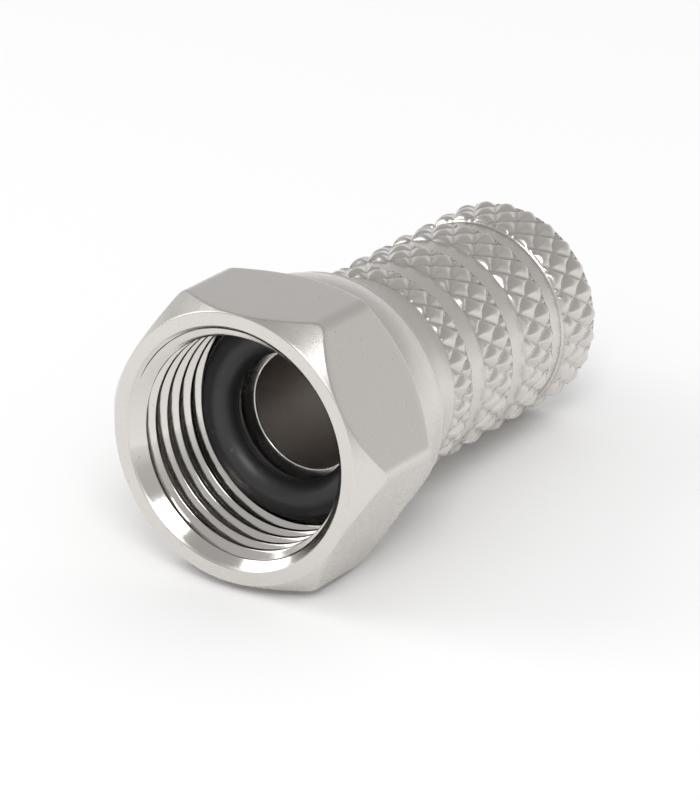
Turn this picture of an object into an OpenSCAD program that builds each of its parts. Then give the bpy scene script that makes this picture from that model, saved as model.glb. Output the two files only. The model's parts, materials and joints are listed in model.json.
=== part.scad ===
// Twist-on F connector: a hex coupling nut that turns on a knurled sleeve, with a sealing ring in the nut.
// Each piece is drawn about its own axis, with z = 0 at the nut's face and z growing towards the cable,
// and the whole connector is then laid down on a flat of the nut and the rear rim of the grip.

/* [Coupling nut] */
// Width across the flats of the hexagon
across_flats = 11; // [10.8:0.1:12]
// Radius that rounds the six corners
corner_round = 0.6; // [0.3:0.1:1]
// Length of the hexagon at the middle of a flat
hex_length = 5; // [4.6:0.1:5.4]
// Angle between the axis and the cone that bevels the front corners
front_bevel_angle = 36; // [28:1:48]
// Angle between the axis and the cone that bevels the rear corners
rear_bevel_angle = 44; // [35:1:55]
// Diameter of the round collar where it leaves the hexagon
collar_front_d = 10.7; // [10.4:0.1:10.8]
// Diameter of the collar at its rear edge
collar_rear_d = 10; // [9.6:0.1:10.2]
// Radius of the collar's rear edge
collar_edge_round = 0.25; // [0.1:0.05:0.4]
// Length of the whole nut
nut_length = 7.2; // [7:0.1:8]
// Minor diameter of the 3/8-32 inch thread
thread_minor_d = 8.7; // [8.66:0.02:8.86]
// Diameter of the thread's entry bevel at the nut's face
mouth_d = 9.86; // [9.6:0.02:10.2]
// Diameter of the pocket behind the thread, where the ring and the flange lie
pocket_d = 9.4; // [9.3:0.05:9.8]
// Thickness of the lip that keeps the nut on the sleeve
lip_length = 1; // [0.8:0.1:1.3]

/* [Sleeve] */
// Turned diameter of the neck and of the plain grooves
body_d = 8.2; // [8:0.05:8.3]
// Diameter of the flange inside the nut
flange_d = 8.3; // [8:0.1:8.5]
// Thickness of the flange
flange_length = 0.95; // [0.7:0.05:1.1]
// Diameter of the bore that takes the cable's inner insulation
front_bore_d = 4.8; // [4.6:0.05:5]
// Bevel at both ends of the front bore
front_bore_bevel = 0.12; // [0.05:0.01:0.2]
// Wall between the front bore and the journal that the nut turns on
journal_wall = 1.05; // [0.8:0.05:1.2]
// Minor diameter of the bore that grips the cable's jacket
cable_bore_d = 6.2; // [5.8:0.1:6.5]
// Length of the cable bore, from the rear end to the step
cable_bore_length = 8.2; // [6:0.1:10]
// Diameter of the entry bevel at the rear end
cable_mouth_d = 7.2; // [7:0.1:7.5]
// Length of the smooth neck between the nut and the grip
neck_length = 2.05; // [1.6:0.05:3]
// Bevel on the outer edges of the flange and the neck
edge_bevel = 0.12; // [0.05:0.01:0.2]

/* [Knurled grip] */
// Length of the first, short knurled band
first_band_length = 1.3; // [1:0.05:2]
// Length of each middle band
middle_band_length = 2.1; // [1.6:0.05:3]
// Number of middle bands
middle_bands = 2; // [1:1:4]
// Length of the last band
last_band_length = 2.3; // [1.6:0.05:3]
// Width of the plain grooves between the bands
groove_width = 0.95; // [0.6:0.05:1.4]
// How much deeper the last groove is than the others
last_groove_extra = 0.08; // [0:0.01:0.15]
// Number of diamonds round the grip
knurl_count = 26; // [20:2:34]
// Length of one diamond along the axis
knurl_pitch = 1.61; // [1.2:0.05:2.2]
// Height of the diamonds' crowns above the turned diameter
crown_height = 0.23; // [0.15:0.01:0.3]
// Length of the bevel at each end of a band
band_bevel = 0.2; // [0.1:0.05:0.3]
// Plain rim behind the last band
rear_rim = 0.05; // [0.03:0.01:0.3]

/* [Sealing ring] */
// Thickness of the rubber ring
ring_section_d = 1.64; // [1.5:0.02:1.7]
// Diameter of the ring's centre line
ring_mean_d = 6.84; // [6.7:0.02:6.9]

/* [Fits] */
// Play of the nut along the axis, on each side of its lip
axial_play = 0.1; // [0.05:0.01:0.2]
// Radial running clearance of the nut's lip on the journal
running_clearance = 0.05; // [0.02:0.01:0.09]
// Gap between the ring and the flange that it lies against
ring_gap = 0.03; // [0.01:0.01:0.1]
// Plain length between the end of the thread and the ring
thread_relief = 0.1; // [0.05:0.01:0.3]

/* [Hidden] */
$fn = 96;

// The hexagon, as the circle inside its flats, and its rounded corners
flat_r = across_flats / 2;
corner_centre_r = (flat_r - corner_round) / cos(30);
corner_steps = 4;
hex_reach = flat_r / cos(30);

// The nut's inside, from its mouth to its rear lip
thread_r = thread_minor_d / 2;
mouth_bevel = (mouth_d - thread_minor_d) / 2;
lip_front_z = nut_length - lip_length;
journal_r = front_bore_d / 2 + journal_wall;
lip_r = journal_r + running_clearance;

// The sleeve's steps along the axis
flange_rear_z = lip_front_z - axial_play;
flange_front_z = flange_rear_z - flange_length;
neck_front_z = nut_length + axial_play;
grip_front_z = neck_front_z + neck_length;
body_r = body_d / 2;
bore_step_length = (cable_bore_d - front_bore_d) / 2;

// The grip's bands: where each starts and how long each is
band_count = middle_bands + 2;
band_step = middle_band_length + groove_width;
second_band_z = grip_front_z + first_band_length + groove_width;
last_band_z = second_band_z + middle_bands * band_step;
function band_z(k) = k == 0 ? grip_front_z : second_band_z + (k - 1) * band_step;
function band_length(k) =
    k == 0 ? first_band_length : k == band_count - 1 ? last_band_length : middle_band_length;
grip_rear_z = last_band_z + last_band_length;
sleeve_rear_z = grip_rear_z + rear_rim;

// The ring lies against the flange, and the thread stops just ahead of it
ring_z = flange_front_z - ring_gap - ring_section_d / 2;
thread_rear_z = ring_z - ring_section_d / 2 - thread_relief;

// The knurl: two families of V grooves that cross every quarter pitch of a grid four times as fine
valley_lift = 0.02;
valley_r = body_r + valley_lift;
crown_r = body_r + crown_height;
knurl_quarters = 4;
knurl_sides = knurl_quarters * knurl_count;
knurl_row = knurl_pitch / knurl_quarters;
knurl_phase_angle = 7.2;
knurl_offset = 3.03;
knurl_phase_z = grip_front_z + knurl_offset;

// How the connector lies: the rear of the lowest flat and the rear of the grip touch the surface
rest_tilt = atan((flat_r - crown_r) / (grip_rear_z - band_bevel - hex_length));
lowest = flat_r * cos(rest_tilt) + hex_length * sin(rest_tilt);
front_reach = -flat_r * sin(rest_tilt);
rear_reach = sleeve_rear_z * cos(rest_tilt) + body_r * sin(rest_tilt);

function arc_points(centre, r, from, to, steps) =
    [for (i = [0:steps]) let (a = from + (to - from) * i / steps) centre + r * [cos(a), sin(a)]];

function rounded_hexagon() =
    [for (k = [0:5])
        let (middle = 60 * k)
        each arc_points(corner_centre_r * [cos(middle), sin(middle)], corner_round,
                        middle - 30, middle + 30, corner_steps)];

// A round solid about the axis, from an outline of [radius, z] points
module turned(outline) {
    rotate_extrude() polygon(outline);
}

// Lays a piece down, with the mouth of the nut towards -Y and the cable towards +Y
module laid_down() {
    translate([0, -(front_reach + rear_reach) / 2, lowest])
        rotate([-90 - rest_tilt, 0, 0])
            children();
}

module hexagon_body() {
    intersection() {
        linear_extrude(hex_length) polygon(rounded_hexagon());
        turned([
            [0, 0],
            [flat_r, 0],
            [hex_reach, (hex_reach - flat_r) / tan(front_bevel_angle)],
            [hex_reach, hex_length - (hex_reach - flat_r) / tan(rear_bevel_angle)],
            [flat_r, hex_length],
            [0, hex_length]]);
    }
}

// The collar swells gently and ends in a rounded edge
module collar() {
    start = hex_length / 2;
    end_r = collar_rear_d / 2;
    run = nut_length - collar_edge_round - hex_length;
    drop = collar_front_d / 2 - end_r;
    swell_steps = 6;
    swell = [for (i = [0:swell_steps])
        let (t = i / swell_steps)
        [end_r + drop * (1 - t * t), hex_length + run * t]];
    edge = arc_points([end_r - collar_edge_round, nut_length - collar_edge_round],
                      collar_edge_round, 0, 90, 5);
    turned(concat([[0, start], [collar_front_d / 2, start]], swell,
                  [for (i = [1:5]) edge[i]], [[0, nut_length]]));
}

module nut_cavity() {
    past = 1;
    turned([
        [0, -past],
        [mouth_d / 2 + past, -past],
        [thread_r, mouth_bevel],
        [thread_r, thread_rear_z],
        [pocket_d / 2, thread_rear_z],
        [pocket_d / 2, lip_front_z],
        [lip_r, lip_front_z],
        [lip_r, nut_length + past],
        [0, nut_length + past]]);
}

module coupling_nut() {
    color("gainsboro") laid_down() difference() {
        union() {
            hexagon_body();
            collar();
        }
        nut_cavity();
    }
}

// Height of a diamond at a place between two valley lines, 0 in the valley and 1 on the crown
function pillow(u) = let (d = abs(u - round(u))) 1 - pow(1 - 2 * d, 2);

// Radius of the knurl at an angle, counted in diamonds, and a height along the axis
function knurl_r(turns, z) =
    let (along = (z - knurl_phase_z) / knurl_pitch)
    valley_r + (crown_r - valley_r) * min(pillow(turns + along), pillow(turns - along));

function knurl_rows(from, to) =
    let (first = ceil((from - knurl_phase_z) / knurl_row + 0.25),
         last = floor((to - knurl_phase_z) / knurl_row - 0.25))
    [for (j = [first:last]) knurl_phase_z + j * knurl_row];

// One knurled band, as rings of points joined by triangles whose shared edges follow the valleys
module knurl_band(from, length) {
    to = from + length;
    rows = concat([from, from + band_bevel],
                  knurl_rows(from + band_bevel, to - band_bevel),
                  [to - band_bevel, to]);
    last = len(rows) - 1;
    points = [for (j = [0:last], i = [0:knurl_sides - 1])
        let (turns = i / knurl_quarters,
             a = knurl_phase_angle + 360 * i / knurl_sides,
             r = j == 0 || j == last ? valley_r : knurl_r(turns, rows[j]))
        [r * cos(a), r * sin(a), rows[j]]];
    function at(i, j) = j * knurl_sides + i % knurl_sides;
    function lattice_row(j) = floor(((rows[j] + rows[j + 1]) / 2 - knurl_phase_z) / knurl_row);
    sides = [for (j = [0:last - 1], i = [0:knurl_sides - 1])
        each (i - lattice_row(j)) % 2 == 0
            ? [[at(i, j), at(i + 1, j + 1), at(i + 1, j)], [at(i, j), at(i, j + 1), at(i + 1, j + 1)]]
            : [[at(i, j), at(i, j + 1), at(i + 1, j)], [at(i + 1, j), at(i, j + 1), at(i + 1, j + 1)]]];
    front = [for (i = [0:knurl_sides - 1]) at(i, 0)];
    rear = [for (i = [knurl_sides - 1:-1:0]) at(i, last)];
    polyhedron(points, concat(sides, [front, rear]));
}

module sleeve_outside() {
    deep_r = body_r - last_groove_extra;
    turned([
        [0, flange_front_z],
        [flange_d / 2 - edge_bevel, flange_front_z],
        [flange_d / 2, flange_front_z + edge_bevel],
        [flange_d / 2, flange_rear_z],
        [journal_r, flange_rear_z],
        [journal_r, neck_front_z],
        [body_r - edge_bevel, neck_front_z],
        [body_r, neck_front_z + edge_bevel],
        [body_r, last_band_z - groove_width],
        [deep_r, last_band_z - groove_width],
        [deep_r, last_band_z],
        [body_r, last_band_z],
        [body_r, sleeve_rear_z],
        [0, sleeve_rear_z]]);
}

module sleeve_bore() {
    past = 1;
    front_r = front_bore_d / 2;
    cable_r = cable_bore_d / 2;
    mouth_r = cable_mouth_d / 2;
    cable_front_z = sleeve_rear_z - cable_bore_length;
    turned([
        [0, flange_front_z - past],
        [front_r + front_bore_bevel + past, flange_front_z - past],
        [front_r, flange_front_z + front_bore_bevel],
        [front_r, cable_front_z - bore_step_length],
        [cable_r, cable_front_z],
        [cable_r, sleeve_rear_z - (mouth_r - cable_r)],
        [mouth_r + past, sleeve_rear_z + past],
        [0, sleeve_rear_z + past]]);
}

module knurled_sleeve() {
    color("silver") laid_down() difference() {
        union() {
            sleeve_outside();
            for (k = [0:band_count - 1]) knurl_band(band_z(k), band_length(k));
        }
        sleeve_bore();
    }
}

module sealing_ring() {
    color([0.1, 0.1, 0.1]) laid_down()
        rotate_extrude() translate([ring_mean_d / 2, ring_z]) circle(d = ring_section_d);
}

coupling_nut();
knurled_sleeve();
sealing_ring();
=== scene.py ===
"""Twist-on F connector: a nickel-plated coupling nut, a knurled sleeve and a rubber sealing ring.

Every surface is computed about the connector's own axis, with z = 0 at the nut's face and z growing
towards the cable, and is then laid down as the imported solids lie. Lengths are in metres.
"""

import json
import math

import bpy
import numpy as np
from mathutils import Matrix, Vector


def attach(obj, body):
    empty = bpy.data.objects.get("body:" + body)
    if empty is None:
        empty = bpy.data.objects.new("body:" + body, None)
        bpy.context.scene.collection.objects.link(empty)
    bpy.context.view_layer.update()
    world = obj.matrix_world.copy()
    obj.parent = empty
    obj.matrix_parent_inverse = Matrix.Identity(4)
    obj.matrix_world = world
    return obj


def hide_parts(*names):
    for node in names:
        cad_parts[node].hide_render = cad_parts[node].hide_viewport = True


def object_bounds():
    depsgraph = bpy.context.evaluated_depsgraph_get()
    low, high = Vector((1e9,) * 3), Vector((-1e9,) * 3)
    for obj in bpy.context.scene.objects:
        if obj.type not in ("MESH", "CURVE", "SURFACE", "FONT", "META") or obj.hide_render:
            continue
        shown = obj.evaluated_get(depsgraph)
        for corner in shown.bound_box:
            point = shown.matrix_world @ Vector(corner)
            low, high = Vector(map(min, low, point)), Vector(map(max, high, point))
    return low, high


bl_info = {
    "name": "Twist-on F Connector",
    "version": (1, 0, 0),
    "blender": (4, 5, 0),
    "location": "3D View > Sidebar > Connector",
    "description": "Builds the nut, the knurled sleeve and the sealing ring of a twist-on F connector",
    "category": "Add Mesh",
}

MM = 0.001

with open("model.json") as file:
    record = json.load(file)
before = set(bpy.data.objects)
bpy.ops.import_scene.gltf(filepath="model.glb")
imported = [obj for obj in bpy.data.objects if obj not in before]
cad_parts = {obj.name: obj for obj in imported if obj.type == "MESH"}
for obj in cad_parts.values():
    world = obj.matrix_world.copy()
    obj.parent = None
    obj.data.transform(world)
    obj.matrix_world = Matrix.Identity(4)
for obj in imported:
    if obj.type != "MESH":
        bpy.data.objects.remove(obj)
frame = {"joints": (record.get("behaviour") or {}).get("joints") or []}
CAD_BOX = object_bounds()
NUT_SPIN = frame["joints"][0]
# The joint's axis points out of the nut's mouth, so the cable lies the other way
CABLE_WAY = -Vector(NUT_SPIN["axis"]).normalized()


# ---------------------------------------------------------------------------------------------
# Settings
# ---------------------------------------------------------------------------------------------


def length(name, description, millimetres):
    """A length that a user can change, given in millimetres and kept in metres."""
    return bpy.props.FloatProperty(
        name=name, description=description, default=millimetres * MM,
        min=0.0, unit="LENGTH", precision=5,
    )


def colour(name, description, rgb):
    """A linear colour that a user can change."""
    return bpy.props.FloatVectorProperty(
        name=name, description=description, default=rgb, size=3,
        min=0.0, max=1.0, subtype="COLOR",
    )


class NutSizes(bpy.types.PropertyGroup):
    across_flats: length("Across flats", "Width across the flats of the hexagon", 11.0)
    corner_round: length("Corner round", "Radius that rounds the six corners", 0.6)
    hex_length: length("Hexagon length", "Length at the middle of a flat", 5.0)
    front_angle: bpy.props.FloatProperty(
        name="Front bevel", description="Angle of the front corner cone from the axis",
        default=math.radians(36), subtype="ANGLE",
    )
    rear_angle: bpy.props.FloatProperty(
        name="Rear bevel", description="Angle of the rear corner cone from the axis",
        default=math.radians(44), subtype="ANGLE",
    )
    collar_front: length("Collar front", "Diameter of the collar at the hexagon", 10.7)
    collar_rear: length("Collar rear", "Diameter of the collar at its rear edge", 10.0)
    collar_edge: length("Collar edge", "Radius of the collar's rear edge", 0.25)
    full_length: length("Nut length", "Length of the whole nut", 7.2)
    thread_minor: length("Thread minor diameter", "Inner diameter of the thread", 8.7)
    thread_major: length("Thread major diameter", "Outer diameter of the thread", 9.525)
    thread_pitch: length("Thread pitch", "32 turns per inch", 0.79375)
    thread_end: length("Thread end", "Depth at which the thread runs out", 4.75)
    mouth: length("Mouth", "Diameter of the entry bevel at the face", 9.86)
    pocket: length("Pocket", "Diameter of the pocket behind the thread", 9.6)
    lip: length("Lip", "Thickness of the lip that holds the nut on the sleeve", 1.0)
    lip_bore: length("Lip bore", "Diameter of the hole in the lip", 7.0)


class SleeveSizes(bpy.types.PropertyGroup):
    body: length("Body", "Turned diameter of the neck and the grooves", 8.2)
    flange: length("Flange", "Diameter of the flange inside the nut", 8.3)
    flange_front: length("Flange front", "Depth of the flange's front face", 5.15)
    flange_length: length("Flange length", "Thickness of the flange", 0.95)
    journal: length("Journal", "Diameter that the nut turns on", 6.9)
    neck_front: length("Neck front", "Depth at which the neck starts", 7.3)
    front_bore: length("Front bore", "Diameter of the hole for the cable's insulation", 4.8)
    cable_bore: length("Cable bore", "Inner diameter of the jacket thread", 6.2)
    jacket_major: length("Jacket thread", "Outer diameter of the jacket thread", 6.9)
    jacket_pitch: length("Jacket pitch", "Pitch of the jacket thread", 1.1)
    cable_front: length("Cable bore front", "Depth at which the cable bore starts", 11.85)
    cable_mouth: length("Cable mouth", "Diameter of the rear entry bevel", 7.2)
    rear: length("Rear end", "Depth of the sleeve's rear end", 20.05)
    groove_extra: length("Last groove", "How much deeper the last groove is", 0.08)
    knurl_pitch: length("Knurl pitch", "Length of one diamond along the axis", 1.61)
    knurl_crown: length("Knurl crown", "Height of the diamonds above the body", 0.23)
    knurl_count: bpy.props.IntProperty(
        name="Knurl count", description="Number of diamonds round the grip", default=26, min=8,
    )


class RingSizes(bpy.types.PropertyGroup):
    section: length("Section", "Thickness of the rubber ring", 1.64)
    mean: length("Mean diameter", "Diameter of the ring's centre line", 6.84)
    depth: length("Depth", "Depth of the ring's centre in the nut", 4.30)
    parting: length("Parting ridge", "Height of the mould's parting ridge", 0.06)


class Finishes(bpy.types.PropertyGroup):
    nickel: colour("Nickel", "Colour of the nickel plate", (0.70, 0.67, 0.635))
    # Darker and browner than the nickel: painted shade inside the bores
    bore: colour("Bore", "Colour of the plate inside the bores", (0.50, 0.46, 0.43))
    # This colour gives dark specks in random pits on the nut, and painted shade in the knurl's valleys
    grime_and_shade: colour("Grime", "Colour left in the roots of threads and knurls", (0.30, 0.24, 0.20))
    rubber: colour("Rubber", "Colour of the sealing ring", (0.022, 0.022, 0.024))
    floor: colour("Floor", "Colour of the floor", (0.95, 0.95, 0.95))


# Groups of settings by the name they have on the scene
SETTINGS = {
    "connector_nut": NutSizes,
    "connector_sleeve": SleeveSizes,
    "connector_ring": RingSizes,
    "connector_finish": Finishes,
}


# ---------------------------------------------------------------------------------------------
# Surfaces
# ---------------------------------------------------------------------------------------------

# Where each knurled band starts and ends along the axis
BANDS = [(9.35 * MM, 10.65 * MM), (11.6 * MM, 13.7 * MM),
         (14.65 * MM, 16.75 * MM), (17.7 * MM, 20.0 * MM)]
KNURL_PHASE_ANGLE = math.radians(7.2)
KNURL_PHASE_Z = 12.38 * MM
KNURL_STEPS = 14
VALLEY_LIFT = 0.01 * MM


def spread(count):
    """Places from 0 to 1 without the ends, 0.5 - 0.5 cos(pi s), so that they gather at both ends."""
    s = np.arange(1, count + 1) / (count + 1)
    return 0.5 - 0.5 * np.cos(np.pi * s)


def rounded_path(corners, cuts, arc_steps=4, straight_steps=4):
    """Rows of points along a path of straight lines whose corners are rounded.

    corners has a point [radius, z] for each corner and column. A corner P becomes the curve
    (1-t)^2 A + 2t(1-t) P + t^2 B, where A and B lie on the two lines at the corner's cut length
    from P, and never past 0.45 of a line. The straight parts are sampled more densely near
    their ends. Returns the rows and, for each, 1 on a rounded corner and 0 elsewhere.
    """
    corners = np.asarray(corners, float)
    steps = corners[1:] - corners[:-1]
    lengths = np.maximum(np.linalg.norm(steps, axis=-1, keepdims=True), 1e-12)
    rows, worn = [corners[0]], [0.0]
    leave = corners[0]
    last = len(corners) - 1
    for k in range(1, last + 1):
        if k < last:
            back = np.minimum(cuts[k] / lengths[k - 1], 0.45)
            on = np.minimum(cuts[k] / lengths[k], 0.45)
        else:
            back = on = 0.0
        arrive = corners[k] - steps[k - 1] * back
        for s in spread(straight_steps):
            rows.append(leave + (arrive - leave) * s)
            worn.append(0.0)
        if k == last:
            rows.append(corners[k])
            worn.append(0.0)
            break
        depart = corners[k] + steps[k] * on
        for t in np.linspace(0, 1, arc_steps + 1):
            rows.append((1 - t) ** 2 * arrive + 2 * t * (1 - t) * corners[k] + t * t * depart)
            worn.append(math.sin(math.pi * t))
        leave = depart
    return np.array(rows), np.array(worn)


def columns(path, count):
    """The same path of [radius, z] points for every column."""
    return np.repeat(np.asarray(path, float)[:, None, :], count, axis=1)


def thread_rows(turns, front, rear, pitch, inner, outer, widest_front, widest_rear, samples):
    """Rows of an internal right-handed thread between two depths, from rear to front.

    A row keeps its place on the thread's profile and climbs one pitch in each turn, so
    z = front + pitch (n + s + turns - 1), held between front and rear. The profile is a
    wave of 60 degree flanks, with flat crests at the inner radius and rounded roots at the
    outer one. The radius is the largest of the profile's and of the two run-out cones'.
    """
    flank = (outer - inner) * math.tan(math.radians(30)) / pitch
    crest = max(0.08, (1 - 2 * flank) * 0.62)
    root = 1 - 2 * flank - crest
    knots = np.cumsum([0, crest / 2, flank, root, flank, crest / 2])
    heights = np.array([0, 0, 1, 1, 0, 0])
    profile = np.stack([inner + (outer - inner) * heights, knots * pitch], 1)
    wave, _ = rounded_path(profile[:, None, :], [0] + [0.028 * MM] * 4 + [0], samples, samples)
    wave = wave[:-1, 0]
    count = int(math.ceil((rear - front) / pitch)) + 1
    start = np.arange(count)[:, None] * pitch + wave[None, :, 1]
    start = np.append(start.ravel(), count * pitch)
    radius = np.append(np.tile(wave[:, 0], count), inner)
    z = np.clip(front + start[:, None] + (turns[None, :] - 1) * pitch, front, rear)
    cone = np.maximum(widest_front - (z - front), widest_rear - (rear - z) * 1.2)
    r = np.maximum(radius[:, None], cone)
    return np.stack([r, z], -1)[::-1]


def connector_axes():
    """The rotation and place that lay the connector's own axis down as the solids lie.

    The nut's face plane is found from the joint: the joint's point is the middle of the lip.
    """
    tilt = math.atan2(-CABLE_WAY.z, CABLE_WAY.y)
    turn = Matrix.Rotation(-math.pi / 2 - tilt, 3, "X")
    sizes = bpy.context.scene.connector_nut
    lip_middle = sizes.full_length - sizes.lip / 2
    place = Vector(NUT_SPIN["pos_m"]) - CABLE_WAY * lip_middle
    return np.array(turn), np.array(place), tilt


def lay_down(angles, rows):
    """Points of rows [radius, z] at their angles about the axis, laid down in the row frame."""
    turn, place, _ = connector_axes()
    r, z = rows[..., 0], rows[..., 1]
    own = np.stack([r * np.cos(angles), r * np.sin(angles), z], -1)
    return own @ turn.T + place


def grid_faces(rows, cols, crossing=None):
    """Quads between the rows and columns of a grid. Where crossing gives a row's number, not
    negative, its quads are cut into triangles along the diagonals that a diamond knurl follows:
    one way where row plus column is even, and the other way where it is odd."""
    j, i = np.meshgrid(np.arange(rows - 1), np.arange(cols - 1), indexing="ij")
    a, b = j * cols + i, j * cols + i + 1
    c, d = b + cols, a + cols
    if crossing is None:
        return np.stack([a, b, c, d], -1).reshape(-1, 4), np.empty((0, 3), int)
    crossed = (crossing[:-1] >= 0) & (crossing[1:] >= 0)
    low = np.minimum(crossing[:-1], crossing[1:])[:, None]
    even = ((low + i) % 2 == 0)
    quads = np.stack([a, b, c, d], -1)[~crossed].reshape(-1, 4)
    down = (crossing[:-1] > crossing[1:])[:, None] & np.ones_like(even)
    slash = np.where(down, ~even, even)
    one = np.where(slash[..., None], np.stack([a, b, c], -1), np.stack([a, b, d], -1))
    two = np.where(slash[..., None], np.stack([a, c, d], -1), np.stack([b, c, d], -1))
    return quads, np.concatenate([one[crossed], two[crossed]]).reshape(-1, 3)


def closed_mesh(name, points, masks, crossing=None):
    """A closed mesh from a grid of points whose opposite edges meet.

    Points closer than a nanometre are welded, and faces that lose their area are left out.
    The faces are turned outwards if the enclosed volume comes out negative. masks are the
    named values that the materials read at each point.
    """
    rows, cols = points.shape[:2]
    flat = points.reshape(-1, 3)
    _, first, merged = np.unique(
        np.round(flat * 1e8).astype(np.int64), axis=0, return_index=True, return_inverse=True)
    merged = merged.ravel()
    quads, triangles = grid_faces(rows, cols, crossing)
    faces = []
    for block in (quads, triangles):
        block = merged[block]
        n = block.shape[1]
        same = block == np.roll(block, -1, axis=1)
        whole = block[~same.any(1)]
        faces += whole.tolist()
        if n == 4:
            cut = block[same.sum(1) == 1]
            keep = ~(cut == np.roll(cut, -1, axis=1))
            faces += cut[keep].reshape(-1, 3).tolist()
    places = flat[first]
    volume = sum(
        np.einsum("ij,ij->i", places[np.array(f)[:, 0]],
                  np.cross(places[np.array(f)[:, k]], places[np.array(f)[:, k + 1]])).sum()
        for n in (3, 4) for k in range(1, n - 1)
        for f in [[x for x in faces if len(x) == n]] if f)
    if volume < 0:
        faces = [x[::-1] for x in faces]
    mesh = bpy.data.meshes.new(name)
    mesh.from_pydata(places.tolist(), [], faces)
    for mask, values in masks.items():
        spread_out = np.broadcast_to(values, (rows, cols)).ravel()[first]
        mesh.attributes.new(mask, "FLOAT", "POINT").data.foreach_set(
            "value", spread_out.astype(np.float32))
    mesh.shade_smooth()
    mesh.validate()
    piece = bpy.data.objects.new(name, mesh)
    bpy.context.scene.collection.objects.link(piece)
    return piece


def hexagon_columns(sizes):
    """Angles about the axis and the rounded hexagon's radius at each.

    Along a flat the radius is f / cos(a) for an angle a from its middle. Round a corner the
    point is the corner's centre plus its radius in the normal's direction.
    """
    flat = sizes.across_flats / 2
    centre = (flat - sizes.corner_round) / math.cos(math.pi / 6)
    half = math.atan2(centre * math.sin(math.pi / 6), flat)
    s = np.linspace(-1, 1, 41)[:-1]
    along = half * (s + 0.12 * np.sin(np.pi * s)) / (1 + 0)
    normal = np.radians(np.linspace(-30, 30, 9)[:-1])
    corner = np.stack([centre + sizes.corner_round * np.cos(normal),
                       sizes.corner_round * np.sin(normal)], 1)
    bend = np.arctan2(corner[:, 1], corner[:, 0])
    angles, radii = [], []
    for k in range(6):
        angles += [np.radians(60 * k) + bend, np.radians(60 * k + 30) + along]
        radii += [np.linalg.norm(corner, axis=1), flat / np.cos(along)]
    angles, radii = np.concatenate(angles), np.concatenate(radii)
    return np.append(angles, angles[0] + 2 * np.pi), np.append(radii, radii[0])


def nut_surface():
    """The nut: its outline in each half plane through the axis, carried round the axis.

    The outline leaves the mouth's entry bevel, crosses the face, climbs the corner cone to the
    hexagon, leaves it by the rear cone, follows the collar's parabola and its rounded edge, and
    returns through the lip and the pocket to the thread.
    """
    sizes = bpy.context.scene.connector_nut
    angles, reach = hexagon_columns(sizes)
    n = len(angles)
    flat, mouth = sizes.across_flats / 2 - 0.04 * MM, sizes.mouth / 2
    front_z = (reach - flat) / math.tan(sizes.front_angle)
    rear_z = sizes.hex_length - (reach - flat) / math.tan(sizes.rear_angle)
    entry = 0.07 * MM
    pocket, lip_bore = sizes.pocket / 2, sizes.lip_bore / 2
    lip_front = sizes.full_length - sizes.lip
    collar_front, collar_rear = sizes.collar_front / 2, sizes.collar_rear / 2

    def point(r, z):
        return np.stack(np.broadcast_arrays(r, z, np.zeros(n))[:2], -1)

    hexagon, worn_hexagon = rounded_path(
        [point(mouth - entry, entry), point(mouth, 0), point(flat, 0), point(reach, front_z),
         point(reach, rear_z), point(flat, sizes.hex_length),
         point(collar_front, sizes.hex_length), point(collar_front, sizes.hex_length + 0.06 * MM)],
        np.array([0, 0.03, 0.04, 0.07, 0.07, 0.04, 0.03, 0]) * MM, 4, 5)
    run = sizes.full_length - sizes.collar_edge - sizes.hex_length
    t = np.linspace(0, 1, 14)[1:-1]
    swell = columns(np.stack([collar_rear + (collar_front - collar_rear) * (1 - t * t),
                              sizes.hex_length + run * t], 1), n)
    inside, worn_inside = rounded_path(
        [point(collar_rear, sizes.full_length - sizes.collar_edge),
         point(collar_rear, sizes.full_length), point(lip_bore, sizes.full_length),
         point(lip_bore, lip_front), point(pocket, lip_front), point(pocket, sizes.thread_end)],
        np.array([0, sizes.collar_edge / MM, 0.06, 0.05, 0.05, 0]) * MM, 5, 4)
    turns = (angles - angles[0]) / (2 * np.pi)
    thread = thread_rows(
        turns, entry, sizes.thread_end, sizes.thread_pitch, sizes.thread_minor / 2,
        sizes.thread_major / 2, mouth - entry, pocket, 3)
    rows = np.concatenate([hexagon, swell, inside, thread])
    worn = np.concatenate([worn_hexagon, np.zeros(len(swell)), worn_inside, np.zeros(len(thread))])
    # The six flats are drawn bar, and the rest is turned
    z, r = rows[..., 1], rows[..., 0]
    on_hexagon = np.zeros(len(rows), bool)
    on_hexagon[:len(hexagon)] = True
    drawn = on_hexagon[:, None] & (np.abs(r - reach) < 0.004 * MM) & (z > front_z + 0.01 * MM)
    threaded = np.zeros(len(rows))
    threaded[-len(thread):] = 1
    masks = {"worn": worn[:, None], "turned": 1.0 - drawn, "threaded": threaded[:, None]}
    return angles, rows, masks


def knurl_height(turns, z, count, pitch):
    """Height of a diamond from 0 in its valleys to 1 on its crown.

    Two families of grooves run at turns + z / pitch and turns - z / pitch, counted in diamonds.
    Each groove's height is 1 - (1 - 2d)^2 at a distance d from its line, and the lower of the
    two counts. Each crown is a little different in height.
    """
    along = (z - KNURL_PHASE_Z) / pitch
    u, v = turns + along, turns - along

    def pillow(x):
        d = np.abs(x - np.round(x))
        return 1 - (1 - 2 * d) ** 2

    lot = np.random.RandomState(7).uniform(0.86, 1.0, (64, 2 * count))
    row = (np.floor(u) - np.floor(v)).astype(int) % 64
    place = (np.floor(u) + np.floor(v)).astype(int) % (2 * count)
    return np.minimum(pillow(u), pillow(v)) * lot[row, place]


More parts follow.
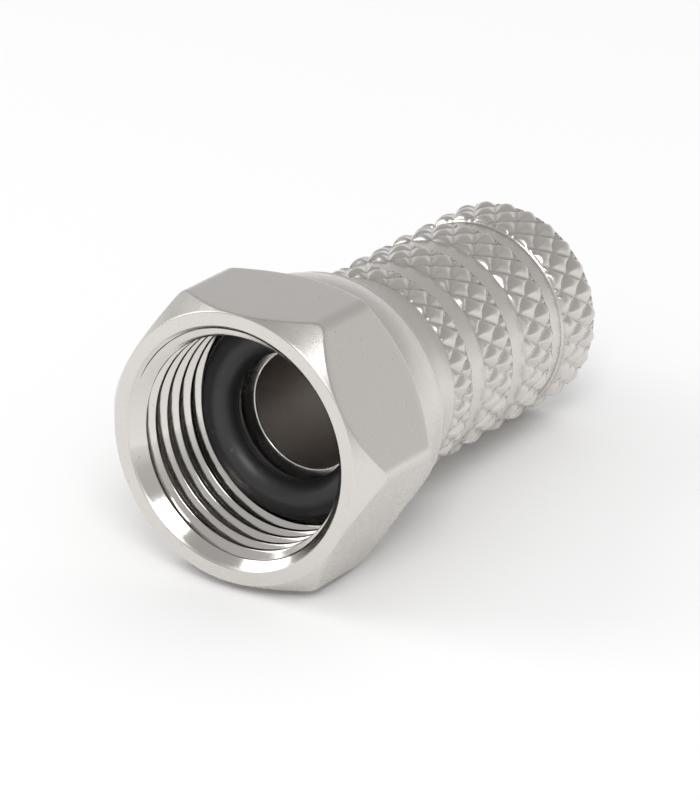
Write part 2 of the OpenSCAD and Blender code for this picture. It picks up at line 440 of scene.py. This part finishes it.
def knurled_band(start, end, turns, sizes):
    """Rows of one knurled band and their lattice numbers.

    The radius is the knurl's height on the body, and the ends are cut by cones at 45 degrees.
    """
    body = sizes.body / 2 + VALLEY_LIFT
    step = sizes.knurl_pitch / KNURL_STEPS
    crown = sizes.knurl_crown - VALLEY_LIFT
    first = math.ceil((start + 0.02 * MM - KNURL_PHASE_Z) / step)
    last = math.floor((end - 0.02 * MM - KNURL_PHASE_Z) / step)
    number = np.arange(first, last + 1)
    z = np.concatenate([[start], KNURL_PHASE_Z + number * step, [end]])
    height = crown * knurl_height(turns[None, :], z[:, None], sizes.knurl_count, sizes.knurl_pitch)
    cut = np.minimum(z - start, end - z)[:, None] * 1.15
    r = body + np.minimum(height, np.maximum(cut, 0))
    crossing = np.concatenate([[first - 1], number, [last + 1]]) + 10 * KNURL_STEPS ** 2
    return np.stack([r, np.broadcast_to(z[:, None], r.shape)], -1), crossing


def sleeve_surface():
    """The sleeve: its outline, carried round the axis, with the knurled bands and the threads.

    The outline runs from the front bore across the flange, the journal, the neck, the bands and
    the grooves to the rear end, and returns through the jacket thread and the front bore.
    """
    sizes = bpy.context.scene.connector_sleeve
    n = sizes.knurl_count * KNURL_STEPS + 1
    turns = np.linspace(0, sizes.knurl_count, n)
    angles = KNURL_PHASE_ANGLE + 2 * np.pi * turns / sizes.knurl_count
    body, flange, journal = sizes.body / 2, sizes.flange / 2, sizes.journal / 2
    front_bore, cable_bore = sizes.front_bore / 2, sizes.cable_bore / 2
    flange_rear = sizes.flange_front + sizes.flange_length
    bore_step = sizes.cable_front - (cable_bore - front_bore)
    mouth = sizes.cable_mouth / 2

    def path(points, cuts, arc=3, straight=2):
        rows, worn = rounded_path(columns(np.array(points), n), np.array(cuts) * MM, arc, straight)
        return rows, worn, np.full(len(rows), -1)

    parts = [path(
        [(front_bore, sizes.flange_front + 0.5 * MM), (front_bore, sizes.flange_front),
         (flange, sizes.flange_front), (flange, flange_rear), (journal, flange_rear),
         (journal, sizes.neck_front), (body, sizes.neck_front), (body, BANDS[0][0] - 0.02 * MM)],
        [0, 0.08, 0.1, 0.1, 0.05, 0.05, 0.1, 0], 4, 2)]
    for k, (start, end) in enumerate(BANDS):
        rows, crossing = knurled_band(start, end, turns, sizes)
        parts.append((rows, np.zeros(len(rows)), crossing))
        if k < len(BANDS) - 1:
            floor = body - (sizes.groove_extra if k == len(BANDS) - 2 else 0)
            following = BANDS[k + 1][0]
            parts.append(path([(floor, end + 0.02 * MM), (floor, following - 0.02 * MM)],
                              [0, 0], 3, 4))
    parts.append(path(
        [(body, BANDS[-1][1] + 0.02 * MM), (body, sizes.rear), (mouth, sizes.rear),
         (cable_bore + 0.06 * MM, sizes.rear - (mouth - cable_bore) + 0.06 * MM)],
        [0, 0.05, 0.05, 0], 3, 2))
    thread_front, thread_rear = sizes.cable_front, sizes.rear - (mouth - cable_bore) + 0.06 * MM
    thread = thread_rows(
        turns / sizes.knurl_count, thread_front, thread_rear, sizes.jacket_pitch, cable_bore,
        sizes.jacket_major / 2, cable_bore, cable_bore + 0.06 * MM, 1)
    parts.append((thread, np.zeros(len(thread)), np.full(len(thread), -1)))
    parts.append(path(
        [(cable_bore, thread_front), (front_bore, bore_step),
         (front_bore, sizes.flange_front + 0.5 * MM)], [0, 0.1, 0], 3, 4))
    rows = np.concatenate([p[0] for p in parts])
    worn = np.concatenate([p[1] for p in parts])
    crossing = np.concatenate([p[2] for p in parts])
    knurled = (crossing >= 0).astype(float)
    lengths = np.cumsum([len(p[0]) for p in parts])
    bored = np.zeros(len(rows))
    bored[lengths[-3]:] = 1
    bored[:3] = 1
    # The crown mask, the knurl's height, also sets the painted shade in the knurl's valleys
    height = np.clip((rows[..., 0] - body) / sizes.knurl_crown, 0, 1)
    masks = {"worn": worn[:, None], "knurled": knurled[:, None], "bored": bored[:, None],
             "crown": height * knurled[:, None]}
    return angles, rows, masks, crossing


def ring_surface():
    """The rubber ring: a circle of radius s carried round a circle of radius m.

    A fine ridge, where the two halves of the mould met, adds h exp(-(b / w)^2) to s at an angle
    b from the ring's inner equator.
    """
    sizes = bpy.context.scene.connector_ring
    angles = np.linspace(0, 2 * np.pi, 193)
    around = np.linspace(0, 2 * np.pi, 97)
    off = np.abs(np.angle(np.exp(1j * (around - np.pi))))
    section = sizes.section / 2 - sizes.parting + sizes.parting * (
        np.exp(-(off / 0.06) ** 2) + 0.3)
    r = sizes.mean / 2 + section * np.cos(around)
    z = sizes.depth + section * np.sin(around)
    rows = columns(np.stack([r, z], 1), len(angles))
    return angles, rows, {"seam": np.exp(-(off / 0.08) ** 2)[:, None]}


# ---------------------------------------------------------------------------------------------
# Materials
# ---------------------------------------------------------------------------------------------


def group(name, inputs, outputs):
    """An empty node group with named inputs (name, kind, default) and outputs (name, kind)."""
    tree = bpy.data.node_groups.new(name, "ShaderNodeTree")
    for title, kind, default in inputs:
        socket = tree.interface.new_socket(title, in_out="INPUT", socket_type=kind)
        if default is not None:
            socket.default_value = default
    for title, kind in outputs:
        tree.interface.new_socket(title, in_out="OUTPUT", socket_type=kind)
    return tree, tree.nodes.new("NodeGroupInput"), tree.nodes.new("NodeGroupOutput")


def add(tree, kind, values=(), **settings):
    """A node of a kind, with settings and with input values or links given by name or number."""
    node = tree.nodes.new(kind)
    for key, value in settings.items():
        setattr(node, key, value)
    for key, value in dict(values).items():
        if isinstance(value, bpy.types.NodeSocket):
            tree.links.new(value, node.inputs[key])
        else:
            node.inputs[key].default_value = value
    return node


def math_node(tree, operation, a, b=0.0, c=0.0, clamp=False):
    """The result of a math node."""
    return add(tree, "ShaderNodeMath", {0: a, 1: b, 2: c}, operation=operation,
               use_clamp=clamp).outputs[0]


def mix_colour(tree, factor, a, b, blend="MIX"):
    """A mix of two colours."""
    return add(tree, "ShaderNodeMix", {"Factor": factor, "A": a, "B": b},
               data_type="RGBA", blend_type=blend).outputs["Result"]


FLOAT, VECTOR, COLOR = "NodeSocketFloat", "NodeSocketVector", "NodeSocketColor"


def axis_group():
    """Object coordinates turned so that z runs along the connector's axis, and its cylinder's
    coordinates: the distance out from the axis and the distance along it."""
    _, place, tilt = connector_axes()
    tree, given, out = group("connector_axis", [("Vector", VECTOR, None)],
                             [("Own", VECTOR), ("Out", FLOAT), ("Along", FLOAT)])
    moved = add(tree, "ShaderNodeVectorMath", {0: given.outputs[0], 1: tuple(place)},
                operation="SUBTRACT").outputs[0]
    turned = add(tree, "ShaderNodeVectorRotate",
                 {"Vector": moved, "Angle": math.pi / 2 + tilt, "Axis": (1, 0, 0)},
                 rotation_type="AXIS_ANGLE").outputs[0]
    parts = add(tree, "ShaderNodeSeparateXYZ", {0: turned})
    out_sq = math_node(tree, "ADD", math_node(tree, "POWER", parts.outputs[0], 2.0),
                       math_node(tree, "POWER", parts.outputs[1], 2.0))
    radius = math_node(tree, "SQRT", out_sq)
    for name, socket in (("Own", turned), ("Out", radius), ("Along", parts.outputs[2])):
        tree.links.new(socket, out.inputs[name])
    return tree


def grain_group():
    """The fine grain of plating: soft mottling in roughness and colour, and a height of tiny
    pits, at a size given in metres."""
    tree, given, out = group(
        "plating_grain", [("Vector", VECTOR, None), ("Size", FLOAT, 0.0001), ("Pits", FLOAT, 1.0)],
        [("Mottle", FLOAT), ("Height", FLOAT), ("Spots", FLOAT)])
    scale = math_node(tree, "DIVIDE", 1.0, given.outputs["Size"])
    coarse = add(tree, "ShaderNodeTexNoise", {
        "Vector": given.outputs["Vector"], "Scale": math_node(tree, "MULTIPLY", scale, 0.11),
        "Detail": 4.0, "Roughness": 0.6}).outputs[0]
    fine = add(tree, "ShaderNodeTexNoise", {
        "Vector": given.outputs["Vector"], "Scale": scale, "Detail": 3.0}).outputs[0]
    cells = add(tree, "ShaderNodeTexVoronoi", {
        "Vector": given.outputs["Vector"], "Scale": math_node(tree, "MULTIPLY", scale, 0.35)})
    pit = add(tree, "ShaderNodeMapRange", {
        "Value": cells.outputs["Distance"], "From Min": 0.05, "From Max": 0.22,
        "To Min": 1.0, "To Max": 0.0}).outputs[0]
    rare = add(tree, "ShaderNodeMapRange", {
        "Value": add(tree, "ShaderNodeSeparateColor", {0: cells.outputs["Color"]}).outputs[0],
        "From Min": 0.80, "From Max": 0.92}).outputs[0]
    spots = math_node(tree, "MULTIPLY", pit, rare)
    height = math_node(tree, "SUBTRACT", fine,
                       math_node(tree, "MULTIPLY", spots, given.outputs["Pits"]))
    for name, socket in (("Mottle", coarse), ("Height", height), ("Spots", spots)):
        tree.links.new(socket, out.inputs[name])
    return tree


def turning_group():
    """The fine lines that a lathe leaves: noise along one distance only, so that its lines run
    round the axis. Width is the lines' spacing in metres."""
    tree, given, out = group(
        "lathe_lines", [("Out", FLOAT, 0.0), ("Along", FLOAT, 0.0), ("Width", FLOAT, 0.00004)],
        [("Height", FLOAT)])
    total = math_node(tree, "ADD", given.outputs["Out"],
                      math_node(tree, "MULTIPLY", given.outputs["Along"], 1.37))
    lines = add(tree, "ShaderNodeTexNoise", {
        "W": math_node(tree, "DIVIDE", total, given.outputs["Width"]),
        "Scale": 1.0, "Detail": 4.0, "Roughness": 0.65},
        noise_dimensions="1D").outputs[0]
    tree.links.new(lines, out.inputs["Height"])
    return tree


def drawn_group():
    """The faint streaks that run the length of drawn bar: noise that is stretched along z."""
    tree, given, out = group(
        "drawn_streaks", [("Own", VECTOR, None), ("Width", FLOAT, 0.00006)], [("Height", FLOAT)])
    scale = math_node(tree, "DIVIDE", 1.0, given.outputs["Width"])
    thin = add(tree, "ShaderNodeVectorMath", {0: given.outputs["Own"], 1: (1.0, 1.0, 0.02)},
               operation="MULTIPLY").outputs[0]
    streaks = add(tree, "ShaderNodeTexNoise", {
        "Vector": thin, "Scale": scale, "Detail": 3.0}).outputs[0]
    tree.links.new(streaks, out.inputs["Height"])
    return tree


def effect(name, maker):
    """A shared node group, made the first time it is asked for."""
    return bpy.data.node_groups.get(name) or maker()


def place_group(tree, name, maker, values):
    """A shared node group placed in a material, with its values or links."""
    return add(tree, "ShaderNodeGroup", values, node_tree=effect(name, maker)) if False else \
        _placed(tree, effect(name, maker), values)


def _placed(tree, shared, values):
    node = tree.nodes.new("ShaderNodeGroup")
    node.node_tree = shared
    for key, value in values.items():
        if isinstance(value, bpy.types.NodeSocket):
            tree.links.new(value, node.inputs[key])
        else:
            node.inputs[key].default_value = value
    return node


def blank_material(name):
    """A material with a Principled shader, its tree, and its object coordinates turned to the
    connector's axis."""
    material = bpy.data.materials.new(name)
    material.use_nodes = True
    tree = material.node_tree
    shader = tree.nodes["Principled BSDF"]
    place = add(tree, "ShaderNodeTexCoord").outputs["Object"]
    axis = place_group(tree, "connector_axis", axis_group, {"Vector": place})
    return material, tree, shader, axis


def mask(tree, name):
    """A value that the mesh carries at its points."""
    return add(tree, "ShaderNodeAttribute", attribute_name=name).outputs["Fac"]


def rgba(values):
    return (*values, 1.0)


def nut_material():
    """Nickel plate on the nut: drawn flats with faint lengthwise streaks, and turned faces with
    lathe lines, brighter along worn edges, with dark specks in scattered pits and a smoother thread."""
    finish = bpy.context.scene.connector_finish
    material, tree, shader, axis = blank_material("nut_nickel_plate")
    own, out, along = (axis.outputs[k] for k in ("Own", "Out", "Along"))
    grain = place_group(tree, "plating_grain", grain_group,
                        {"Vector": own, "Size": 0.00011, "Pits": 1.4})
    lathe = place_group(tree, "lathe_lines", turning_group,
                        {"Out": out, "Along": along, "Width": 0.00005})
    drawn = place_group(tree, "drawn_streaks", drawn_group, {"Own": own, "Width": 0.00012})
    turned, worn = mask(tree, "turned"), mask(tree, "worn")
    threaded = mask(tree, "threaded")
    lines = add(tree, "ShaderNodeMix", {"Factor": turned, "A": drawn.outputs[0],
                                        "B": lathe.outputs[0]}).outputs["Result"]
    height = math_node(tree, "MULTIPLY_ADD", grain.outputs["Height"], 0.5, lines)
    bump = add(tree, "ShaderNodeBump", {"Strength": 0.25, "Distance": 0.000006, "Height": height})
    rough = math_node(tree, "MULTIPLY_ADD", grain.outputs["Mottle"], 0.16, 0.20)
    rough = math_node(tree, "SUBTRACT", rough, math_node(tree, "MULTIPLY", worn, 0.08))
    rough = math_node(tree, "SUBTRACT", rough, math_node(tree, "MULTIPLY", threaded, 0.16))
    tint = mix_colour(tree, math_node(tree, "MULTIPLY", grain.outputs["Mottle"], 0.25),
                      rgba(finish.nickel), rgba([c * 0.86 for c in finish.nickel]))
    tint = mix_colour(tree, math_node(tree, "MULTIPLY", grain.outputs["Spots"], 0.35),
                      tint, rgba(finish.grime_and_shade))
    for name, socket in (("Base Color", tint), ("Roughness", rough)):
        tree.links.new(socket, shader.inputs[name])
    tree.links.new(bump.outputs[0], shader.inputs["Normal"])
    shader.inputs["Metallic"].default_value = 1.0
    return material


def sleeve_material():
    """Nickel plate on the sleeve: turned neck and grooves, a satin knurl whose valleys are a
    little darker than its crowns with painted shade, and dull bores painted darker and brownish as
    shade."""
    finish = bpy.context.scene.connector_finish
    material, tree, shader, axis = blank_material("sleeve_nickel_plate")
    own, out, along = (axis.outputs[k] for k in ("Own", "Out", "Along"))
    grain = place_group(tree, "plating_grain", grain_group,
                        {"Vector": own, "Size": 0.00009, "Pits": 1.0})
    lathe = place_group(tree, "lathe_lines", turning_group,
                        {"Out": out, "Along": along, "Width": 0.00006})
    knurled, bored, crown = mask(tree, "knurled"), mask(tree, "bored"), mask(tree, "crown")
    lines = add(tree, "ShaderNodeMix", {"Factor": knurled, "A": lathe.outputs[0],
                                        "B": grain.outputs["Mottle"]}).outputs["Result"]
    height = math_node(tree, "MULTIPLY_ADD", grain.outputs["Height"], 0.8, lines)
    bump = add(tree, "ShaderNodeBump", {"Strength": 0.35, "Distance": 0.000008, "Height": height})
    rough = math_node(tree, "MULTIPLY_ADD", grain.outputs["Mottle"], 0.2, 0.16)
    rough = math_node(tree, "ADD", rough, math_node(tree, "MULTIPLY", bored, 0.16))
    # Painted shade: the knurl's valleys are darkened towards their bottoms, by the fifth power of
    # their depth below the crown
    valley_shade = math_node(tree, "MULTIPLY", knurled,
                       math_node(tree, "SUBTRACT", 1.0, crown, clamp=True))
    tint = mix_colour(tree, math_node(tree, "MULTIPLY", grain.outputs["Mottle"], 0.3),
                      rgba(finish.nickel), rgba([c * 0.84 for c in finish.nickel]))
    tint = mix_colour(tree, math_node(tree, "MULTIPLY", math_node(tree, "POWER", valley_shade, 5.0), 0.45),
                      tint, rgba(finish.grime_and_shade))
    # Painted shade: the bores take a darker, brownish colour than the nickel
    tint = mix_colour(tree, bored, tint, rgba(finish.bore))
    for name, socket in (("Base Color", tint), ("Roughness", rough)):
        tree.links.new(socket, shader.inputs[name])
    tree.links.new(bump.outputs[0], shader.inputs["Normal"])
    shader.inputs["Metallic"].default_value = 1.0
    return material


def rubber_material():
    """Smooth black rubber with a satin skin, fine grain and a few specks of dust."""
    finish = bpy.context.scene.connector_finish
    material, tree, shader, axis = blank_material("black_rubber")
    grain = place_group(tree, "plating_grain", grain_group,
                        {"Vector": axis.outputs["Own"], "Size": 0.00014, "Pits": 0.4})
    bump = add(tree, "ShaderNodeBump", {"Strength": 0.2, "Distance": 0.00001,
                                        "Height": grain.outputs["Height"]})
    rough = math_node(tree, "MULTIPLY_ADD", grain.outputs["Mottle"], 0.2, 0.32)
    dust = math_node(tree, "MULTIPLY", grain.outputs["Spots"], 0.25)
    tint = mix_colour(tree, dust, rgba(finish.rubber), (0.2, 0.2, 0.2, 1.0))
    for name, socket in (("Base Color", tint), ("Roughness", rough)):
        tree.links.new(socket, shader.inputs[name])
    tree.links.new(bump.outputs[0], shader.inputs["Normal"])
    shader.inputs["Specular IOR Level"].default_value = 0.6
    return material


def dress(piece, body, node, material):
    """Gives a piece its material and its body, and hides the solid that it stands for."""
    piece.data.materials.append(material)
    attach(piece, body)
    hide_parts(node)


# ---------------------------------------------------------------------------------------------
# Operators
# ---------------------------------------------------------------------------------------------


class CONNECTOR_OT_nut(bpy.types.Operator):
    """Build the coupling nut: hexagon, collar, lip and internal thread"""

    bl_idname = "connector.nut"
    bl_label = "Coupling nut"

    def execute(self, context):
        angles, rows, masks = nut_surface()
        piece = closed_mesh("nut", lay_down(angles, rows), masks)
        dress(piece, "nut", "coupling_nut", nut_material())
        return {"FINISHED"}


class CONNECTOR_OT_sleeve(bpy.types.Operator):
    """Build the sleeve: flange, journal, neck, knurled bands and jacket thread"""

    bl_idname = "connector.sleeve"
    bl_label = "Knurled sleeve"

    def execute(self, context):
        angles, rows, masks, crossing = sleeve_surface()
        piece = closed_mesh("sleeve", lay_down(angles, rows), masks, crossing)
        dress(piece, "sleeve", "knurled_sleeve", sleeve_material())
        return {"FINISHED"}


class CONNECTOR_OT_ring(bpy.types.Operator):
    """Build the rubber sealing ring"""

    bl_idname = "connector.ring"
    bl_label = "Sealing ring"

    def execute(self, context):
        angles, rows, masks = ring_surface()
        piece = closed_mesh("seal", lay_down(angles, rows), masks)
        dress(piece, "sleeve", "sealing_ring", rubber_material())
        return {"FINISHED"}


# The camera: its place, its turn and its lens
CAMERA_PLACE = (108.038 * MM, -166.296 * MM, 97.811 * MM)
CAMERA_TURN = (0.8116377, 0.5110924, 0.1577163, 0.2348496)
CAMERA_LENS = 250.31


def soft_lamp(name, place, target, size, watts):
    """A square area lamp that faces a point."""
    data = bpy.data.lights.new(name, "AREA")
    data.shape, data.size, data.energy = "SQUARE", size, watts
    lamp = bpy.data.objects.new(name, data)
    lamp.location = place
    lamp.rotation_mode = "QUATERNION"
    lamp.rotation_quaternion = (Vector(target) - Vector(place)).to_track_quat("-Z", "Y")
    bpy.context.scene.collection.objects.link(lamp)
    return lamp


def studio_world():
    """The studio's walls and ceiling: pale near the floor and greyer overhead. The camera,
    mirrors and glass see the walls, and everything else gets a plain even light."""
    world = bpy.data.worlds.new("studio")
    world.use_nodes = True
    tree = world.node_tree
    sky = tree.nodes["Background"]
    height = add(tree, "ShaderNodeSeparateXYZ",
                 {0: add(tree, "ShaderNodeTexCoord").outputs["Generated"]}).outputs[2]
    ramp = add(tree, "ShaderNodeValToRGB", {0: height})
    stops = ramp.color_ramp.elements
    stops[0].position, stops[0].color = 0.0, (0.90, 0.90, 0.90, 1)
    stops[1].position, stops[1].color = 1.0, (0.45, 0.45, 0.45, 1)
    for position, grey in ((0.08, 0.85), (0.22, 0.62), (0.5, 0.55)):
        stop = stops.new(position)
        stop.color = (grey, grey, grey, 1)
    rays = add(tree, "ShaderNodeLightPath")
    seen = math_node(tree, "MAXIMUM", rays.outputs["Is Camera Ray"],
                     math_node(tree, "MAXIMUM", rays.outputs["Is Glossy Ray"],
                               rays.outputs["Is Transmission Ray"]))
    colour_seen = mix_colour(tree, seen, (0.75, 0.75, 0.75, 1), ramp.outputs[0])
    tree.links.new(colour_seen, sky.inputs["Color"])
    sky.inputs["Strength"].default_value = 1.0
    bpy.context.scene.world = world


class CONNECTOR_OT_stage(bpy.types.Operator):
    """Build the pale floor, the soft lights and the camera"""

    bl_idname = "connector.stage"
    bl_label = "Stage"

    def execute(self, context):
        scene = context.scene
        scene.view_settings.view_transform = "Standard"
        low, high = CAD_BOX
        middle = (low + high) / 2
        side = 1.5
        mesh = bpy.data.meshes.new("floor")
        mesh.from_pydata([(-side, -side, low.z), (side, -side, low.z), (side, side, low.z),
                          (-side, side, low.z)], [], [(0, 1, 2, 3)])
        floor = bpy.data.objects.new("floor", mesh)
        scene.collection.objects.link(floor)
        material = bpy.data.materials.new("pale_floor")
        material.use_nodes = True
        shader = material.node_tree.nodes["Principled BSDF"]
        shader.inputs["Base Color"].default_value = rgba(scene.connector_finish.floor)
        shader.inputs["Roughness"].default_value = 0.9
        shader.inputs["Specular IOR Level"].default_value = 0.2
        mesh.materials.append(material)
        soft_lamp("key", middle + Vector((0.16, -0.22, 0.30)), middle, 0.16, 0.55)
        soft_lamp("fill", middle + Vector((-0.30, -0.10, 0.20)), middle, 0.20, 0.25)
        studio_world()
        data = bpy.data.cameras.new("camera")
        data.lens, data.clip_start, data.clip_end = CAMERA_LENS, 0.01, 10.0
        camera = bpy.data.objects.new("camera", data)
        camera.location = CAMERA_PLACE
        camera.rotation_mode = "QUATERNION"
        camera.rotation_quaternion = CAMERA_TURN
        scene.collection.objects.link(camera)
        scene.camera = camera
        return {"FINISHED"}


class CONNECTOR_PT_panel(bpy.types.Panel):
    """The connector's pieces and settings"""

    bl_idname = "CONNECTOR_PT_panel"
    bl_label = "F connector"
    bl_space_type = "VIEW_3D"
    bl_region_type = "UI"
    bl_category = "Connector"

    def draw(self, context):
        for operator in OPERATORS:
            self.layout.operator(operator.bl_idname)
        for name, settings in SETTINGS.items():
            box = self.layout.box()
            for key in settings.__annotations__:
                box.prop(getattr(context.scene, name), key)


OPERATORS = (CONNECTOR_OT_nut, CONNECTOR_OT_sleeve, CONNECTOR_OT_ring, CONNECTOR_OT_stage)


def register():
    for kind in (*SETTINGS.values(), *OPERATORS, CONNECTOR_PT_panel):
        bpy.utils.register_class(kind)
    for name, settings in SETTINGS.items():
        setattr(bpy.types.Scene, name, bpy.props.PointerProperty(type=settings))


def unregister():
    for name in SETTINGS:
        delattr(bpy.types.Scene, name)
    for kind in (CONNECTOR_PT_panel, *OPERATORS, *SETTINGS.values()):
        bpy.utils.unregister_class(kind)


def main():
    """Builds everything in order."""
    register()
    bpy.ops.connector.nut()
    bpy.ops.connector.sleeve()
    bpy.ops.connector.ring()
    bpy.ops.connector.stage()


if __name__ == "__main__":
    main()
